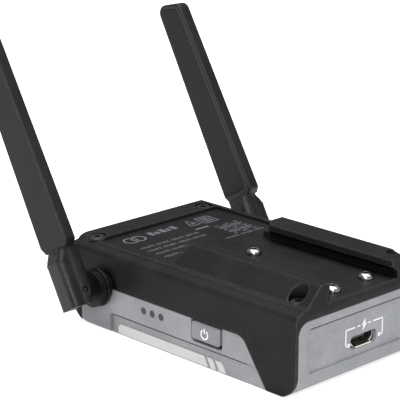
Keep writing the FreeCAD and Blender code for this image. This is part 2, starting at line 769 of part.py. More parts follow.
case_screws = []
for i, (x, y, seat) in enumerate(case_screw_spots()):
    case_screws.append(screw("case_screw_%d" % i, x, y, seat, 1.95, 0.9, 0.85, 12.0))
group("case_screws", case_screws)
floor_screws = []
for i, (x, y) in enumerate(FLOOR_SCREWS):
    floor_screws.append(screw("floor_screw_%d" % i, x, y, floor_z, dim("floor_head") / 2, 1.3,
                              0.85, 1.4, soften, 0.8))
group("floor_screws", floor_screws)
board_screws = []
for i, (x, y) in enumerate(BOARD_SCREWS):
    board_screws.append(screw("board_screw_%d" % i, x, y, board_z, 1.5, 0.8, 0.65, 3.6))
group("board_screws", board_screws)

# ---------------------------------------------------------------------------
# Antennas.  Each is drawn upright about its own hinge point (Z along the blade, X across it,
# Y outward from the body with the side's sign), then leaned back and set on the body side.
# ---------------------------------------------------------------------------

lean = {"near": dim("near_lean"), "far": dim("far_lean")}
foot_z = dim("blade_foot")
tip_z = dim("blade_reach")
foot_half = dim("blade_foot_width") / 2
tip_half = dim("blade_tip_width") / 2


def tip_corners(left, right, top):
    """The two corners of the slanted tip, moved in from the blade's edges by the margins."""
    return [(tip_half - right, tip_z - dim("tip_slant") - top),
            (-tip_half + left, tip_z + dim("tip_slant") - top)]


def outer_outline(gap):
    """The outward face of the blade, nearly full width."""
    left, right = 0.45 + gap, 0.6 + gap
    return [(-foot_half + left, foot_z + 0.1), (-foot_half + 1.5, foot_z - 1.45),
            (foot_half - 1.5, foot_z - 1.45), (foot_half - right, foot_z - 0.5)
            ] + tip_corners(left, right, 0.55 + gap)


def inner_outline(gap):
    """The inset face towards the body, with a wider rim on the USB side."""
    left, right = 0.6 + gap, 1.25 + gap
    return [(-foot_half + left, foot_z + 0.1 + gap), (foot_half - right, foot_z + 0.1 + gap)
            ] + tip_corners(left, right, 0.95 + gap)


def stand(obj, side, sign):
    """Wrap a finished piece and set it on its hinge point, leaned back."""
    placed = doc.addObject("Part::Compound", obj.Name + "_placed")
    placed.Links = [obj]
    turn = Rot(Vec(0, 1, 0), -num(lean[side]))
    put(placed, hinge_x, sign * half_width, hinge_z, turn)
    return placed


def out_span(sign, a, b):
    return span(sign * a, sign * b)


def out_rod(name, sign, a, b, radius):
    low, high = out_span(sign, a, b)
    return rod(name, "Y", (0, low, 0), radius, high - low)


for side, sign in SIDES:
    prefix = side + "_antenna_"
    # fixed collar with its threaded bush through the wall, and the nut inside
    collar_out = dim("collar_standoff") + dim("collar_thickness")
    flange_rod = out_rod(prefix + "flange", sign, dim("collar_standoff"), collar_out,
                         dim("collar_radius"))
    flange_soft = soften(prefix + "flange_soft", flange_rod, 0.2,
                         lambda m, e: near(abs(m.y), collar_out))
    stem = out_rod(prefix + "stem", sign, 0.0, dim("collar_standoff") + 0.1, 2.95)
    bush = out_rod(prefix + "bush", sign, -wall - 1.7, 0.1, 3.0)
    bush_bore = out_rod(prefix + "bush_bore", sign, -wall - 3, 3.0, dim("shaft_radius") + 0.06)
    collar = cut(prefix + "collar_cut", fuse(prefix + "collar_body", [flange_soft, stem, bush]),
                 [bush_bore])
    node(prefix + "collar", stand(collar, side, sign))

    low, high = out_span(sign, -wall - 1.4, -wall)
    hexagon = doc.addObject("Part::RegularPolygon", prefix + "nut_outline")
    hexagon.Polygon = 6
    hexagon.Circumradius = 4.3
    hexagon.Placement = FreeCAD.Placement(Vec(0, num(low), 0), AXIS_TURN["Y"])
    nut_blank = doc.addObject("Part::Extrusion", prefix + "nut_blank")
    nut_blank.Base = hexagon
    nut_blank.DirMode = "Custom"
    nut_blank.Dir = Y_AXIS
    nut_blank.Solid = True
    nut_blank.LengthFwd = num(high - low)
    nut = cut(prefix + "nut_cut", nut_blank,
              [out_rod(prefix + "nut_bore", sign, -wall - 3, 1.0, 3.0)])
    node(prefix + "nut", stand(nut, side, sign))

    # turning disc, its shaft through the bush, and the tongue that carries the pin
    disc_in = collar_out + 0.3
    disc_out = disc_in + dim("disc_thickness")
    disc = out_rod(prefix + "disc", sign, disc_in, disc_out, dim("disc_radius"))
    ring_cuts = []
    for i, start in enumerate((0.3, 0.8)):
        ring_outer = out_rod(prefix + "ring_outer_%d" % i, sign, disc_in + start,
                             disc_in + start + 0.22, dim("disc_radius") + 1)
        ring_inner = out_rod(prefix + "ring_inner_%d" % i, sign, disc_in, disc_out,
                             dim("disc_radius") - 0.22)
        ring_cuts.append(cut(prefix + "ring_%d" % i, ring_outer, [ring_inner]))
    shaft = out_rod(prefix + "shaft", sign, -wall - 2.7, disc_in + 0.2, dim("shaft_radius"))
    clip_groove_outer = out_rod(prefix + "groove_outer", sign, -wall - 2.45, -wall - 2.0,
                                dim("shaft_radius") + 1)
    clip_groove_core = out_rod(prefix + "groove_core", sign, -wall - 3, -wall - 1.9,
                               dim("shaft_radius") - 0.4)
    groove = cut(prefix + "groove", clip_groove_outer, [clip_groove_core])
    tongue_half = dim("tongue_thickness") / 2
    tongue_low, tongue_high = out_span(sign, disc_out - 0.2, dim("pin_offset"))
    tongue_web = box(prefix + "tongue_web", (-tongue_half, tongue_half),
                     (tongue_low, tongue_high), (-1.75, 1.75))
    tongue_eye = rod(prefix + "tongue_eye", "X",
                     (-tongue_half, sign * dim("pin_offset"), 0), 1.75, dim("tongue_thickness"))
    pin_bore = rod(prefix + "pin_bore", "X", (-5.0, sign * dim("pin_offset"), 0),
                   dim("pin_radius") + 0.04, 10)
    base = cut(prefix + "base_cut",
               fuse(prefix + "base_body", [disc, shaft, tongue_web, tongue_eye]),
               ring_cuts + [groove, pin_bore])
    node(prefix + "swivel", stand(base, side, sign))
    clip_outer = out_rod(prefix + "clip_outer", sign, -wall - 2.45, -wall - 2.0, 2.9)
    clip_inner = out_rod(prefix + "clip_inner", sign, -wall - 3, -wall - 1,
                         dim("shaft_radius") - 0.4)
    clip_mouth = box(prefix + "clip_mouth", (-1.2, 1.2), span(sign * -1.0, sign * -6.0),
                     (-4.0, 0.0))
    clip = cut(prefix + "clip_cut", clip_outer, [clip_inner, clip_mouth])
    node(prefix + "clip", stand(clip, side, sign))

    # blade housing: tapered, with a slanted tip and foot
    inner = dim("blade_inner")
    outer = inner + dim("blade_thickness")
    blade_low, blade_high = out_span(sign, inner, outer)
    blade_raw = prism(prefix + "blade_raw", "XZ",
                      [(-foot_half, foot_z), (-foot_half + 1.2, foot_z - 1.8),
                       (foot_half - 1.2, foot_z - 1.8), (foot_half, foot_z - 0.6)]
                      + tip_corners(0.0, 0.0, 0.0),
                      blade_low, blade_high)
    blade_tip = soften(prefix + "blade_tip", blade_raw, 2.2,
                       lambda m, e: along(e, Y_AXIS) and m.z > num(tip_z) - 2)
    blade_foot = soften(prefix + "blade_foot", blade_tip, 0.6,
                        lambda m, e: along(e, Y_AXIS) and m.z < num(foot_z) + 0.1)
    blade = soften(prefix + "blade_soft", blade_foot, 0.45,
                   lambda m, e: near(abs(m.y), inner) or near(abs(m.y), outer))

    # neck: two rounded ridges side by side, the inner one forked round the tongue
    half_neck = dim("neck_width") / 2
    ridges = []
    for ridge, a, b, half, top, radius in (
            ("inner", dim("neck_inner"), dim("neck_valley") + 0.3, half_neck, 10.8, 2.45),
            ("outer", dim("neck_valley") - 2.6, dim("neck_outer"), dim("ridge_width") / 2, 8.0,
             1.45)):
        low, high = out_span(sign, a, b)
        raw = box(prefix + ridge + "_ridge_raw", (-half, half), (low, high),
                  (-dim("neck_foot"), top))
        ridges.append(soften(prefix + ridge + "_ridge", raw, radius,
                             lambda m, e: along(e, Z_AXIS)))
    belly = prism(prefix + "belly", "YZ", [
        (sign * 10.5, -dim("neck_foot")), (sign * 10.5, 11.0), (sign * 5.7, 11.0),
        (sign * dim("neck_inner"), 6.8), (sign * dim("neck_inner"), 4.3), (sign * 5.5, 1.8),
        (sign * 6.5, -0.4), (sign * 7.2, -dim("neck_foot"))], -half_neck - 1, half_neck + 1)
    ridges[0] = common(prefix + "inner_ridge_shaped", [ridges[0], belly])
    low, high = out_span(sign, inner + 0.5, outer - 0.15)
    web = box(prefix + "web", (-2.9, 2.9), (low, high), (9.0, foot_z + 0.8))
    shoulder_raw = prism(prefix + "shoulder_raw", "YZ", [
        (sign * (inner + 0.6), 7.4), (sign * (dim("neck_outer") - 0.3), 7.4),
        (sign * (dim("neck_outer") - 0.3), 8.0), (sign * (outer + 1.3), 8.9),
        (sign * outer, 10.9), (sign * (outer - 0.6), 11.6), (sign * (inner + 0.6), 11.6)],
        -half_neck + 0.35, half_neck - 0.4)
    shoulder = soften(prefix + "shoulder", shoulder_raw, 1.1,
                      lambda m, e: abs(m.x) > 2.8 and abs(m.y) > num(outer) + 0.3
                      and m.z > 8.2)
    neck_body = fuse(prefix + "neck_body", [blade, web, shoulder] + ridges)
    fork_low, fork_high = out_span(sign, 0.0, dim("pin_offset") + 2.1)
    fork = box(prefix + "fork", (-tongue_half - 0.3, tongue_half + 0.3), (fork_low, fork_high),
               (-10.0, 2.1))
    pin_seat = rod(prefix + "pin_seat", "X", (-6.0, sign * dim("pin_offset"), 0),
                   dim("pin_radius"), 12)
    face_low, face_high = out_span(sign, outer - 0.45, outer + 1)
    face_pocket = soften(prefix + "face_pocket",
                         prism(prefix + "face_pocket_raw", "XZ", outer_outline(0.0),
                               face_low, face_high),
                         1.8, lambda m, e: along(e, Y_AXIS) and m.z > num(tip_z) - 4)
    back_low, back_high = out_span(sign, inner - 1, inner + 0.45)
    back_pocket = soften(prefix + "back_pocket",
                         prism(prefix + "back_pocket_raw", "XZ", inner_outline(0.0),
                               back_low, back_high),
                         1.3, lambda m, e: along(e, Y_AXIS))
    core_low, core_high = out_span(sign, inner + 1.1, outer - 1.1)
    core = box(prefix + "core", (-2.6, 2.6), (core_low, core_high), (foot_z + 3.0, tip_z - 4.0))
    housing = cut(prefix + "housing_cut", neck_body,
                  [fork, pin_seat, face_pocket, back_pocket, core])
    node(prefix + "blade", stand(housing, side, sign))

    # inlaid faces, flush with the housing, each inside a fine border groove
    low, high = out_span(sign, outer - 0.45, outer - 0.02)
    outer_inlay = soften(prefix + "outer_face_soft",
                         prism(prefix + "outer_face_raw", "XZ", outer_outline(0.12), low, high),
                         1.68, lambda m, e: along(e, Y_AXIS) and m.z > num(tip_z) - 4)
    node(prefix + "outer_face", stand(outer_inlay, side, sign))
    low, high = out_span(sign, inner + 0.02, inner + 0.45)
    inner_inlay = soften(prefix + "inner_face_soft",
                         prism(prefix + "inner_face_raw", "XZ", inner_outline(0.12), low, high),
                         1.18, lambda m, e: along(e, Y_AXIS))
    node(prefix + "inner_face", stand(inner_inlay, side, sign))

    low, high = out_span(sign, inner + 1.2, outer - 1.2)
    radiator = box(prefix + "radiator_strip", (-1.6, 1.6), (low, high),
                   (foot_z + 4.0, tip_z - 7.0))
    node(prefix + "radiator", stand(radiator, side, sign))
    pin_half = half_neck - 0.45
    pin = rod(prefix + "pin_rod", "X", (-pin_half, sign * dim("pin_offset"), 0),
              dim("pin_radius"), 2 * pin_half)
    pin_ready = bevel(prefix + "pin_ends", pin, 0.15,
                      lambda m, e: near(abs(m.x), pin_half))
    node(prefix + "pin", stand(pin_ready, side, sign))

# ---------------------------------------------------------------------------
# Check and export
# ---------------------------------------------------------------------------

doc.recompute()
for obj in doc.Objects:
    if "Invalid" in obj.State or "Error" in obj.State:
        raise RuntimeError("%s is in state %s" % (obj.Name, obj.State))
for name, obj in nodes.items():
    shape = obj.Shape
    if shape.isNull() or not shape.isValid() or not shape.Solids:
        raise RuntimeError("no sound solid in " + name)
    shape.exportStep("parts/%s.step" % name)
    box_size = shape.BoundBox
    print("%-28s %2d solid(s) %9.2f mm3  %6.1f x %5.1f x %5.1f" % (
        name, len(shape.Solids), shape.Volume, box_size.XLength, box_size.YLength,
        box_size.ZLength))
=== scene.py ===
import math

import bpy
from mathutils import Matrix, Vector


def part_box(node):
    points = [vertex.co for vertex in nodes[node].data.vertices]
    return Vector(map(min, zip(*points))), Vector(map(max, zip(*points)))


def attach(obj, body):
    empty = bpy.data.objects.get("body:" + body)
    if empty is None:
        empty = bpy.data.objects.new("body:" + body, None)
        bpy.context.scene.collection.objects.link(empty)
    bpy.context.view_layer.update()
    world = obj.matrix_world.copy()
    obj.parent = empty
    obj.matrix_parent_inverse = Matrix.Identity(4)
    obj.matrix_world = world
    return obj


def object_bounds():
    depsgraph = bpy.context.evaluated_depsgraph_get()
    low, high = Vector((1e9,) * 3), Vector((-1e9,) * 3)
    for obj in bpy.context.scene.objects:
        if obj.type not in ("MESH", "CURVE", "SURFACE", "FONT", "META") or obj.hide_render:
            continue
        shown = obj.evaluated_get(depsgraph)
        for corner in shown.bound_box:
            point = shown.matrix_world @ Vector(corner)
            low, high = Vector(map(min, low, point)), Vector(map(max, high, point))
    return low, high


# Wireless receiver unit: materials, printed marks, stage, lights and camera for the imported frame.
# Metres; +X is the charging-port end, -Y the near (button) side, +Z the slotted top.

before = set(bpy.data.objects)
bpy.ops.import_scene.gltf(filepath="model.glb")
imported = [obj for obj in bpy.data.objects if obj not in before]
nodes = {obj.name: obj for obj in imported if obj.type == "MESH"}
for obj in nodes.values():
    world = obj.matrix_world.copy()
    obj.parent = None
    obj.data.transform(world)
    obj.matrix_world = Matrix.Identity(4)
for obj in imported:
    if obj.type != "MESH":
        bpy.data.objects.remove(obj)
cad_low, cad_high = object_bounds()
scene = bpy.context.scene
scene.view_settings.view_transform = "Standard"
scene.view_settings.look = "None"
MM = 0.001

# numbers shared by all finishes
EDGE_SHARE = 0.6        # share of the edge tone on a full edge: the edge band paints a highlight where the tone is above 1 and shade where it is below 1, over some wear
SPECKLE_TONE = 1.9      # brightness of the speckles against the base colour
PAINTED_SHADE_TONE = 0.12      # brightness of the painted shade deep in a slot or corner
GRAIN_STRENGTH = 0.6    # strength of the bump


# ---------------------------------------------------------------------------
# Materials
# ---------------------------------------------------------------------------

class Graph:
    """A small helper for building one node material."""

    def __init__(self, name):
        self.material = bpy.data.materials.new(name)
        self.material.use_nodes = True
        self.tree = self.material.node_tree
        self.tree.nodes.clear()
        self.output = self.add("ShaderNodeOutputMaterial")
        self.shader = self.add("ShaderNodeBsdfPrincipled")
        self.link(self.shader.outputs["BSDF"], self.output.inputs["Surface"])
        self.place = self.add("ShaderNodeTexCoord").outputs["Object"]

    def add(self, kind, **settings):
        node = self.tree.nodes.new(kind)
        for key, value in settings.items():
            setattr(node, key, value)
        return node

    def link(self, source, target):
        self.tree.links.new(source, target)

    def noise(self, size, detail=2.0, roughness=0.5, stretch=None):
        """Noise whose features are about `size` metres across, from 0 to 1."""
        node = self.add("ShaderNodeTexNoise")
        node.inputs["Scale"].default_value = 1.0 / size
        node.inputs["Detail"].default_value = detail
        node.inputs["Roughness"].default_value = roughness
        place = self.place
        if stretch:
            mapping = self.add("ShaderNodeMapping")
            mapping.inputs["Scale"].default_value = stretch
            self.link(place, mapping.inputs["Vector"])
            place = mapping.outputs["Vector"]
        self.link(place, node.inputs["Vector"])
        return node.outputs["Fac"]

    def remap(self, value, low, high, to_low, to_high):
        node = self.add("ShaderNodeMapRange")
        node.inputs["From Min"].default_value = low
        node.inputs["From Max"].default_value = high
        node.inputs["To Min"].default_value = to_low
        node.inputs["To Max"].default_value = to_high
        self.link(value, node.inputs["Value"])
        return node.outputs["Result"]

    def math(self, operation, first, second):
        node = self.add("ShaderNodeMath", operation=operation)
        for socket, value in zip(node.inputs, (first, second)):
            if isinstance(value, (int, float)):
                socket.default_value = value
            else:
                self.link(value, socket)
        return node.outputs["Value"]

    def mix(self, factor, first, second):
        node = self.add("ShaderNodeMix", data_type="RGBA")
        for name, value in (("Factor", factor), ("A", first), ("B", second)):
            socket = [s for s in node.inputs if s.name == name and s.enabled][0]
            if isinstance(value, (tuple, list)):
                socket.default_value = (*value, 1.0)
            elif isinstance(value, (int, float)):
                socket.default_value = value
            else:
                self.link(value, socket)
        return [s for s in node.outputs if s.enabled][0]

    def rounded_normal(self, radius):
        """The surface normal with the edges softened over `radius` metres."""
        bevel = self.add("ShaderNodeBevel", samples=4)
        bevel.inputs["Radius"].default_value = radius
        return bevel.outputs["Normal"]

    def edge_mask(self, radius, gain):
        """1 on the edges, fading to 0 on the faces: the band that takes some wear and the painted
        edge highlight and shade.
        """
        rounded = self.rounded_normal(radius)
        geometry = self.add("ShaderNodeNewGeometry")
        dot = self.add("ShaderNodeVectorMath", operation="DOT_PRODUCT")
        self.link(rounded, dot.inputs[0])
        self.link(geometry.outputs["Normal"], dot.inputs[1])
        return self.remap(dot.outputs["Value"], 1.0, 1.0 - 0.25 / gain, 0.0, 1.0)

    def painted_shade_openness(self, reach):
        """1 on open faces, fading to 0 in corners and slots within `reach` metres: the mask of the
        painted shade.
        """
        node = self.add("ShaderNodeAmbientOcclusion", samples=8)
        node.inputs["Distance"].default_value = reach
        return self.remap(node.outputs["AO"], 0.42, 0.80, 0.0, 1.0)


def tint(colour, factor):
    return tuple(min(1.0, channel * factor) for channel in colour)


def finish_surface(name, colour, roughness, metallic=0.0, grain=0.15, depth=0.012, tone=0.10,
                   blotch=6.0, edge=0.12, edge_tone=1.5, rough_spread=0.08, specular=0.5,
                   coat=0.0, coat_roughness=0.2, stretch=None, speckle=0.0, edge_gain=1.0,
                   shade_reach=0.0, round_off=0.0):
    """A moulded, painted or metal finish.

    In millimetres: grain and blotch (sizes of the fine and broad noise), depth (height of the
    grain), edge (width of the edge band of wear with a painted highlight and shade), round_off
    (radius that softens the shading of edges, the same as edge when 0) and shade_reach (how far the
    painted shade darkens slots and corners, 0 for none).
    As factors of the colour: tone (spread) and edge_tone (the edge band: a painted highlight where
    above 1, painted shade where below 1).
    """
    g = Graph(name)
    fine = g.noise(grain * MM, detail=3.0, roughness=0.6, stretch=stretch)
    broad = g.noise(blotch * MM, detail=3.0, roughness=0.55)
    shade = g.math("ADD", g.math("MULTIPLY", fine, 0.5), g.math("MULTIPLY", broad, 0.5))
    spread = g.remap(shade, 0.32, 0.68, 0.0, 1.0)
    base = g.mix(spread, tint(colour, 1.0 - tone), tint(colour, 1.0 + tone))
    if speckle:
        dots = g.remap(g.noise(grain * 1.7 * MM, detail=1.0), 0.62, 0.72, 0.0, speckle)
        base = g.mix(dots, base, tint(colour, SPECKLE_TONE))
    # edge band: some wear, plus a painted edge highlight where edge_tone is above 1 and painted
    # edge shade where it is below 1
    if edge:
        edge_wear_and_light = g.math("MULTIPLY", g.edge_mask(edge * MM, edge_gain),
                      g.remap(g.noise(0.9 * MM, detail=4.0), 0.35, 0.6, 0.35, 1.0))
        base = g.mix(g.math("MULTIPLY", edge_wear_and_light, EDGE_SHARE), base, tint(colour, edge_tone))
    # painted shade: the base colour darkens in slots, corners and hollows where less light reaches
    if shade_reach:
        base = g.mix(g.painted_shade_openness(shade_reach * MM), tint(colour, PAINTED_SHADE_TONE), base)
    g.link(base, g.shader.inputs["Base Color"])
    rough = g.remap(g.math("ADD", g.math("MULTIPLY", broad, 0.7), g.math("MULTIPLY", fine, 0.3)),
                    0.3, 0.7, roughness - rough_spread, roughness + rough_spread)
    g.link(rough, g.shader.inputs["Roughness"])
    g.shader.inputs["Metallic"].default_value = metallic
    g.shader.inputs["Specular IOR Level"].default_value = specular
    g.shader.inputs["Coat Weight"].default_value = coat
    g.shader.inputs["Coat Roughness"].default_value = coat_roughness
    bump = g.add("ShaderNodeBump")
    bump.inputs["Strength"].default_value = GRAIN_STRENGTH
    bump.inputs["Distance"].default_value = depth * MM
    g.link(fine, bump.inputs["Height"])
    if edge:
        g.link(g.rounded_normal((round_off or edge) * MM), bump.inputs["Normal"])
    g.link(bump.outputs["Normal"], g.shader.inputs["Normal"])
    return g.material


# painted edge highlight along the cover's edges and painted shade in its slots and corners
cover_black = finish_surface("cover_black", (0.0112, 0.0112, 0.0115), 0.50, grain=0.30,
                             depth=0.026, tone=0.38, blotch=8.0, edge=0.60, edge_tone=6.5,
                             specular=0.065, speckle=0.45, edge_gain=2.5,
                             shade_reach=3.0)
# painted shade along the blade's edges and grooves and in the hollows of the neck
antenna_black = finish_surface("antenna_black", (0.0072, 0.0072, 0.0069), 0.40, grain=0.40,
                               depth=0.120, tone=0.45, blotch=7.0, edge=0.25, edge_tone=0.1,
                               specular=0.25, speckle=0.9, edge_gain=2.5,
                               shade_reach=2.5, round_off=0.8)
antenna_face = finish_surface("antenna_face", (0.0072, 0.0072, 0.0070), 0.48, grain=0.28,
                              depth=0.020, tone=0.38, blotch=8.0, edge=0.1, edge_tone=1.8,
                              specular=0.16, speckle=0.4)
swivel_black = finish_surface("swivel_black", (0.004, 0.004, 0.0042), 0.36, grain=0.14,
                              depth=0.008, tone=0.18, blotch=3.0, edge=0.12, edge_tone=5.0,
                              specular=0.14)
silver_tray = finish_surface("silver_tray", (0.190, 0.194, 0.207), 0.48, metallic=0.10,
                             grain=0.32, depth=0.016, tone=0.24, blotch=7.0, edge=0.15,
                             edge_tone=1.2, specular=0.30, speckle=0.16)
silver_panel = finish_surface("silver_panel", (0.190, 0.192, 0.202), 0.48, metallic=0.10,
                              grain=0.32, depth=0.016, tone=0.24, blotch=6.0, edge=0.08,
                              edge_tone=1.2, specular=0.30, speckle=0.16)
button_grey = finish_surface("button_grey", (0.155, 0.157, 0.165), 0.48, metallic=0.05, grain=0.2,
                             depth=0.008, tone=0.10, blotch=4.0, edge=0.12, edge_tone=1.4,
                             specular=0.30)
strip_white = finish_surface("strip_white", (0.385, 0.385, 0.376), 0.5, grain=0.24, depth=0.006,
                             tone=0.06, blotch=2.0, edge=0.04, edge_tone=1.1)
window_smoke = finish_surface("window_smoke", (0.012, 0.014, 0.018), 0.2, grain=0.3, depth=0.003,
                              tone=0.2, blotch=1.0, edge=0.08, edge_tone=1.5, specular=0.35)
black_moulding = finish_surface("black_moulding", (0.02, 0.02, 0.021), 0.4, grain=0.12,
                                depth=0.006, blotch=3.0, edge=0.1)
pale_moulding = finish_surface("pale_moulding", (0.72, 0.70, 0.62), 0.42, grain=0.12, depth=0.006,
                               blotch=3.0, edge=0.1, edge_tone=1.1)
nickel = finish_surface("nickel", (0.66, 0.64, 0.60), 0.26, metallic=1.0, grain=0.08, depth=0.003,
                        tone=0.08, blotch=1.5, edge=0.08, edge_tone=1.2, stretch=(0.2, 1.0, 1.0))
chrome = finish_surface("chrome", (0.44, 0.435, 0.42), 0.22, metallic=1.0, grain=0.1, depth=0.002,
                        tone=0.06, blotch=1.0, edge=0.1, edge_tone=1.15, rough_spread=0.06)
# painted shade darkens the screws sunk in deep holes
dark_steel = finish_surface("dark_steel", (0.028, 0.024, 0.021), 0.50, metallic=0.6, grain=0.1,
                            depth=0.004, tone=0.18, blotch=0.8, edge=0.12, edge_tone=2.2,
                            shade_reach=4.0)
gold = finish_surface("gold", (0.80, 0.58, 0.26), 0.28, metallic=1.0, grain=0.08, depth=0.002,
                      tone=0.08, blotch=0.8, edge=0.05, edge_tone=1.1)
brass = finish_surface("brass", (0.62, 0.44, 0.20), 0.34, metallic=1.0, grain=0.1, depth=0.003,
                       tone=0.12, blotch=1.5, edge=0.08, edge_tone=1.2, stretch=(1.0, 1.0, 0.2))
solder_mask = finish_surface("solder_mask", (0.012, 0.10, 0.045), 0.32, grain=0.3, depth=0.004,
                             tone=0.2, blotch=2.5, edge=0.1, edge_tone=1.6, coat=0.3)
cell_foil = finish_surface("cell_foil", (0.52, 0.53, 0.55), 0.38, metallic=0.8, grain=0.5,
                           depth=0.03, tone=0.08, blotch=5.0, edge=0.2, edge_tone=1.15)
foam = finish_surface("foam", (0.03, 0.03, 0.03), 0.9, grain=0.25, depth=0.06, tone=0.3,
                      blotch=2.0, edge=0.0, specular=0.2)
print_grey = finish_surface("print_grey", (0.076, 0.081, 0.092), 0.55, grain=0.12, depth=0.003,
                            tone=0.22, blotch=0.8, edge=0.0)
print_pale = finish_surface("print_pale", (0.050, 0.053, 0.061), 0.55, grain=0.12, depth=0.003,
                            tone=0.25, blotch=0.8, edge=0.0)
print_white = finish_surface("print_white", (0.62, 0.63, 0.64), 0.5, grain=0.1, depth=0.003,
                             tone=0.05, blotch=0.6, edge=0.0)

FINISHES = {
    "top_cover": cover_black,
    "bottom_tray": silver_tray,
    "near_side_panel": silver_panel,
    "far_side_panel": silver_panel,
    "led_windows": window_smoke,
    "side_strip": strip_white,
    "power_button": button_grey,
    "switch_plunger": pale_moulding,
    "power_switch": black_moulding,
    "usb_shell": nickel,
    "usb_insert": black_moulding,
    "usb_contacts": gold,
    "audio_jack": black_moulding,
    "main_board": solder_mask,
    "radio_shield": nickel,
    "board_chips": black_moulding,
    "status_leds": pale_moulding,
    "battery_cell": cell_foil,
    "battery_pad": foam,
    "battery_socket": pale_moulding,
    "case_screws": dark_steel,
    "floor_screws": chrome,
    "board_screws": nickel,
}
for side in ("near", "far"):
    prefix = side + "_antenna_"
    FINISHES[prefix + "collar"] = swivel_black
    FINISHES[prefix + "swivel"] = swivel_black
    FINISHES[prefix + "nut"] = brass
    FINISHES[prefix + "clip"] = nickel
    FINISHES[prefix + "blade"] = antenna_black
    FINISHES[prefix + "outer_face"] = antenna_face
    FINISHES[prefix + "inner_face"] = antenna_face
    FINISHES[prefix + "radiator"] = brass
    FINISHES[prefix + "pin"] = dark_steel
for name, obj in nodes.items():
    slots = obj.material_slots
    if not slots:
        obj.data.materials.append(FINISHES[name])
    for slot in slots:
        slot.material = FINISHES[name]


# ---------------------------------------------------------------------------
# Printed marks: thin raised ink shapes, drawn in millimetres on a plane
# ---------------------------------------------------------------------------

INK = 0.02         # thickness of the ink, mm
PORT_LINE = 0.28   # width of the frame line round the charging port, mm


class Ink:
    """A set of flat shapes on one plane: `across` and `up` are the plane's directions."""

    def __init__(self, name, origin, across, up):
        self.name = name
        across, up = Vector(across), Vector(up)
        out = across.cross(up)
        turn = Matrix((across, up, out)).transposed().to_4x4()
        self.place = Matrix.Translation(Vector(origin)) @ turn
        self.vertices = []
        self.faces = []

    def outline(self, points):
        """A closed convex outline, raised by the ink's thickness."""
        first = len(self.vertices)
        count = len(points)
        for height in (0.0, INK):
            for x, y in points:
                self.vertices.append(self.place @ Vector((x * MM, y * MM, height * MM)))
        self.faces.append([first + count + i for i in range(count)])
        self.faces.append([first + i for i in reversed(range(count))])
        for i in range(count):
            j = (i + 1) % count
            self.faces.append([first + i, first + j, first + count + j, first + count + i])

    def bar(self, x0, y0, x1, y1):
        self.outline([(x0, y0), (x1, y0), (x1, y1), (x0, y1)])

    def stroke(self, start, end, width):
        """A straight line with square ends."""
        start, end = Vector(start), Vector(end)
        side = (end - start).normalized().orthogonal() * (width / 2)
        self.outline([start - side, end - side, end + side, start + side]
                     if (end - start).cross(side) > 0 else
                     [start + side, end + side, end - side, start - side])

    def path(self, points, width):
        """Strokes from point to point."""
        for start, end in zip(points, points[1:]):
            self.stroke(start, end, width)

    def ring(self, centre, radius, width, start=0.0, sweep=360.0, steps=36):
        """A ring or arc; `start` and `sweep` are in degrees."""
        for i in range(steps):
            a = math.radians(start + sweep * i / steps)
            b = math.radians(start + sweep * (i + 1) / steps)
            quad = []
            for reach, angle in ((radius - width / 2, a), (radius + width / 2, a),
                                 (radius + width / 2, b), (radius - width / 2, b)):
                quad.append((centre[0] + reach * math.cos(angle),
                             centre[1] + reach * math.sin(angle)))
            self.outline(quad)

    def disc(self, centre, radius, steps=20):
        """A filled circle."""
        points = []
        for i in range(steps):
            a = 2 * math.pi * i / steps
            points.append((centre[0] + radius * math.cos(a), centre[1] + radius * math.sin(a)))
        self.outline(points)

    def dashes(self, x0, x1, y, height):
        """A row of small upright blocks with word-like gaps, standing for fine print."""
        x = x0
        step = 0
        while x < x1:
            width = (0.55, 0.38, 0.62, 0.30, 0.5)[(step * 3) % 5]
            low = y if step % 4 else y + height * 0.25
            self.bar(x, low, x + width, y + height * (1.0 if step % 3 else 0.75))
            x += width + (0.75 if step % 6 == 5 else 0.24)
            step += 1

    def build(self, finish, body):
        """Make the piece, ride it on `body` and give it `finish`."""
        mesh = bpy.data.meshes.new(self.name)
        mesh.from_pydata(self.vertices, [], self.faces)
        mesh.validate()
        mesh.materials.append(finish)
        piece = bpy.data.objects.new(self.name, mesh)
        scene.collection.objects.link(piece)
        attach(piece, body)
        return piece


button_low, button_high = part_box("power_button")
tray_low, tray_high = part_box("bottom_tray")
LABEL_Z = 0.01956             # floor of the label recess
END_RECESS_DEPTH = 0.45 * MM  # depth of the recess in the end plate
LABEL_PLANE = ((0.0, 0.0, LABEL_Z), (0, 1, 0), (-1, 0, 0))

# label area: rows run along +Y, their tops towards the antenna end; two rings, a row of
# blocks, a triangle with a dot, a ruled square and a bar, in place of the unit's own marks
label = Ink("label_marks", *LABEL_PLANE)
label.ring((-12.8, 24.2), 1.7, 0.5)
label.ring((-10.5, 24.2), 1.7, 0.5)
for i, (width, height) in enumerate(((1.3, 2.4), (1.1, 1.7), (1.4, 2.4), (1.0, 1.7), (1.3, 2.4))):
    left = -6.6 + i * 1.75
    label.bar(left, 23.6, left + width, 23.6 + height)
label.path([(4.8, 22.6), (8.2, 22.6), (6.5, 26.4), (4.8, 22.6)], 0.32)
label.disc((6.5, 23.8), 0.5)
label.path([(9.2, 21.9), (13.3, 21.9), (13.3, 26.2), (9.2, 26.2), (9.2, 21.9)], 0.4)
for i in range(3):
    label.bar(10.0, 22.7 + i * 1.1, 12.5, 23.3 + i * 1.1)
label.bar(3.8, 19.6, 7.9, 20.4)
label.build(print_grey, "case")

# rows of small blocks, one (start, end, height up the label) per row
fine_print = Ink("fine_print", *LABEL_PLANE)
for x0, x1, y in ((-15.4, 3.4, 17.6), (-15.4, 3.0, 15.2), (-15.3, -5.8, 12.5),
                  (-15.3, -10.2, 9.7), (4.2, 16.0, 9.8)):
    fine_print.dashes(x0, x1, y, 1.0)
fine_print.build(print_pale, "case")

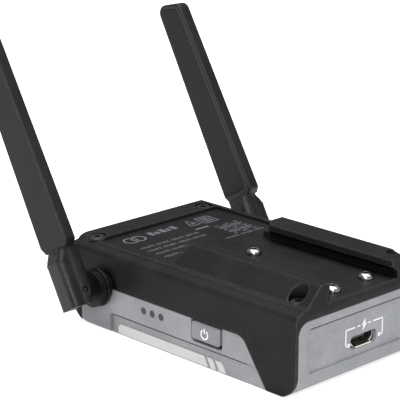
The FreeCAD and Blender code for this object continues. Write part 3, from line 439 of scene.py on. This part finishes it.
# a square patch with a made-up pattern of small blocks
patch = Ink("pattern_patch", *LABEL_PLANE)
for i in range(11):
    for j in range(11):
        if (i * i + 3 * j * j + i * j) % 5 < 3:
            left, low = 8.45 + i * 0.68, 11.5 + j * 0.66
            patch.bar(left, low, left + 0.56, low + 0.54)
patch.build(print_pale, "case")

# power symbol on the button's face
button_mid = (button_low + button_high) / 2
power = Ink("power_symbol", (button_mid.x, button_low.y, button_mid.z), (1, 0, 0), (0, 0, 1))
power.ring((0.0, -0.1), 1.02, 0.30, start=122, sweep=296, steps=30)
power.bar(-0.15, 0.1, 0.15, 1.25)
power.build(print_white, "button")

# frame line round the charging port with two end blocks, a bolt and two dashes beside it,
# on the floor of the end recess
recess_x = tray_high.x - END_RECESS_DEPTH
port = Ink("port_frame", (recess_x, 0.0, 0.0), (0, 1, 0), (0, 0, 1))
port.path([(-4.46, 8.0), (-5.25, 8.0), (-5.25, 11.66), (-2.36, 11.66)], PORT_LINE)
port.path([(3.5, 11.66), (6.6, 11.66), (6.6, 8.0), (5.64, 8.0)], PORT_LINE)
port.bar(-4.75, 7.65, -4.05, 8.45)
port.bar(5.25, 7.65, 5.95, 8.45)
port.outline([(1.05, 13.0), (-0.25, 11.55), (0.75, 11.55)])
port.outline([(0.15, 10.3), (1.45, 11.85), (0.45, 11.85)])
port.path([(-1.6, 11.66), (-0.7, 11.66)], PORT_LINE)
port.path([(1.9, 11.66), (2.7, 11.66)], PORT_LINE)
port.build(print_white, "case")


# ---------------------------------------------------------------------------
# Stage, light and camera
# ---------------------------------------------------------------------------

FLOOR_HALF = 3.0        # half of the floor's side, m
FLOOR_GAP = 0.00005     # the floor lies this far under the body, m
FLOOR_GLOW = 0.65       # keeps the pale floor free of shadows, as in the photograph


def floor_material():
    """A plain pale floor that glows slightly."""
    g = Graph("studio_floor")
    base = g.mix(g.noise(0.08, detail=2.0), (0.59, 0.59, 0.59), (0.61, 0.61, 0.61))
    g.link(base, g.shader.inputs["Base Color"])
    g.shader.inputs["Roughness"].default_value = 0.9
    g.shader.inputs["Specular IOR Level"].default_value = 0.1
    g.shader.inputs["Emission Color"].default_value = (1.0, 1.0, 1.0, 1.0)
    g.shader.inputs["Emission Strength"].default_value = FLOOR_GLOW
    return g.material


floor_mesh = bpy.data.meshes.new("studio_floor")
floor_mesh.from_pydata([(-FLOOR_HALF, -FLOOR_HALF, 0), (FLOOR_HALF, -FLOOR_HALF, 0),
                        (FLOOR_HALF, FLOOR_HALF, 0), (-FLOOR_HALF, FLOOR_HALF, 0)],
                       [], [(0, 1, 2, 3)])
floor_mesh.materials.append(floor_material())
floor = bpy.data.objects.new("studio_floor", floor_mesh)
floor.location.z = cad_low.z - FLOOR_GAP
scene.collection.objects.link(floor)

world = bpy.data.worlds.new("studio")
world.use_nodes = True
background = world.node_tree.nodes["Background"]
background.inputs["Color"].default_value = (0.97, 0.98, 1.0, 1.0)
background.inputs["Strength"].default_value = 0.24
scene.world = world


def aimed(name, data, toward, place=(0.0, 0.0, 0.0)):
    """A light or camera at `place`, looking along `toward`."""
    obj = bpy.data.objects.new(name, data)
    obj.location = place
    obj.rotation_mode = "QUATERNION"
    obj.rotation_quaternion = Vector(toward).to_track_quat("-Z", "Y")
    scene.collection.objects.link(obj)
    return obj


def softbox(name, place, aim, width, height, power):
    """A rectangular area light of `width` by `height` metres at `place`, facing `aim`."""
    light = bpy.data.lights.new(name, "AREA")
    light.shape = "RECTANGLE"
    light.size = width
    light.size_y = height
    light.energy = power
    aimed(name, light, Vector(aim) - Vector(place), place)


def sky_lamp(name, toward, strength, spread):
    """A wide, even light that travels along `toward`; `spread` is its angle in degrees."""
    light = bpy.data.lights.new(name, "SUN")
    light.energy = strength
    light.angle = math.radians(spread)
    aimed(name, light, toward)


sky_lamp("key_light", (-0.22, 0.50, -0.84), 1.85, 34)
sky_lamp("top_light", (0.25, -0.12, -0.96), 2.4, 50)
sky_lamp("end_light", (-0.45, -0.20, -0.87), 1.05, 45)
softbox("front_box", (0.50, -0.52, 0.42), (0, 0, 0.015), 0.24, 0.18, 4.2)

# the photograph's viewing angle
camera_data = bpy.data.cameras.new("camera")
camera_data.sensor_width = 36.0
camera_data.lens = 158.8
camera_data.clip_start = 0.01
camera_data.clip_end = 20.0
scene.camera = aimed("camera", camera_data, (-0.688, 0.667, -0.285), (0.2643, -0.2704, 0.1443))

bpy.context.view_layer.update()
